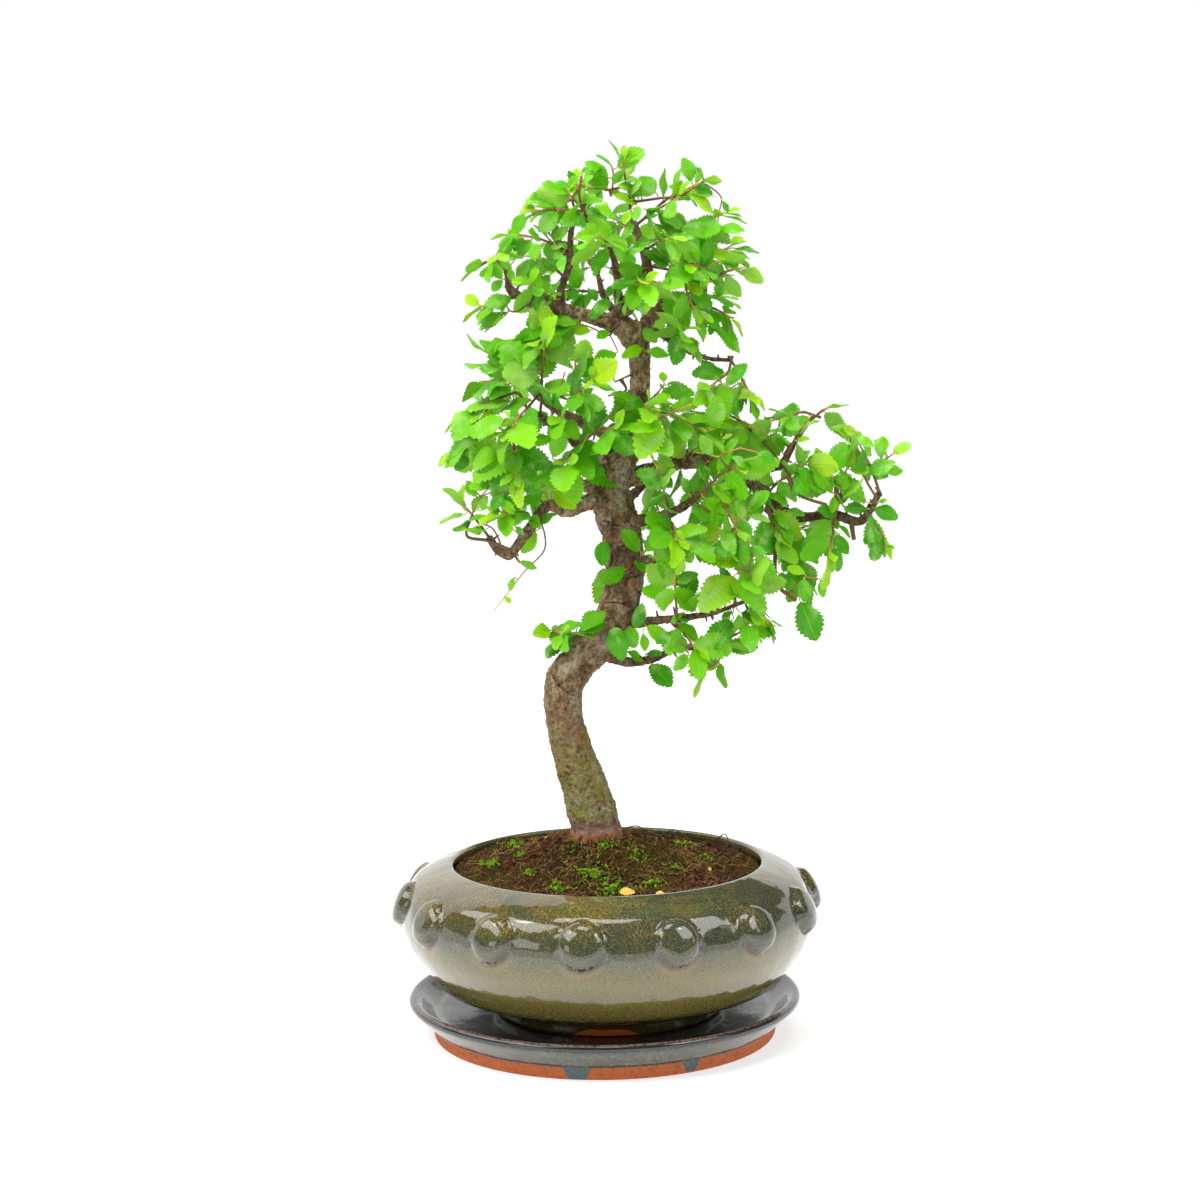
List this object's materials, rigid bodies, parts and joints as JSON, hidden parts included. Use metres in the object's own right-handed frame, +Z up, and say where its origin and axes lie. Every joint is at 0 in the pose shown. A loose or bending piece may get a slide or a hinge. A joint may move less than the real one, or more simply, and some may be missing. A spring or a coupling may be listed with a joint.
{
  "type": "bonsai tree in a glazed pot",
  "caption": "Small-leaved bonsai with a bent trunk, bare lower stem and leafy sprays, standing in a round glazed pot with a ring of bosses, on its saucer.",
  "frame": {"origin": "centre of the saucer's flat underside, on the surface that it stands on", "axes": "+Z up through the tree, +X towards its long branch, -Y towards the viewer of the picture"},
  "size_m": [0.2611, 0.2076, 0.4347],
  "materials": {
    "saucer_glaze": "gloss dark blue-black glaze over a raw clay foot",
    "pot_glaze": "gloss grey-green celadon glaze with brown flecks and iron-red rings at the bosses",
    "soil": "dark peaty soil with root fibres and moss",
    "bark": "grey-brown bark with rusty pores and green algae",
    "leaf": "fresh green leaves with a soft sheen on brown twigs"
  },
  "bodies": {
    "root": {"saucer": "saucer_glaze", "pot": "pot_glaze", "soil": "soil", "trunk": "bark", "spray_01": "leaf", "spray_02": "leaf", "spray_03": "leaf", "spray_04": "leaf", "spray_05": "leaf", "spray_06": "leaf", "spray_07": "leaf", "spray_08": "leaf", "spray_09": "leaf", "spray_10": "leaf", "spray_11": "leaf", "spray_12": "leaf", "spray_13": "leaf", "spray_14": "leaf", "spray_15": "leaf", "spray_16": "leaf", "spray_17": "leaf", "spray_18": "leaf", "spray_19": "leaf", "spray_20": "leaf", "spray_21": "leaf", "spray_22": "leaf", "spray_23": "leaf", "spray_24": "leaf", "spray_25": "leaf", "spray_26": "leaf", "spray_27": "leaf", "spray_28": "leaf", "spray_29": "leaf", "spray_30": "leaf", "spray_31": "leaf", "spray_32": "leaf", "spray_33": "leaf", "spray_34": "leaf", "spray_35": "leaf", "spray_36": "leaf", "spray_37": "leaf", "spray_38": "leaf", "spray_39": "leaf", "spray_40": "leaf", "spray_41": "leaf", "spray_42": "leaf", "spray_43": "leaf", "spray_44": "leaf", "spray_45": "leaf", "spray_46": "leaf", "spray_47": "leaf", "spray_48": "leaf", "spray_49": "leaf", "spray_50": "leaf", "spray_51": "leaf", "spray_52": "leaf", "spray_53": "leaf", "spray_54": "leaf", "spray_55": "leaf", "spray_56": "leaf"}
  },
  "joints": []
}
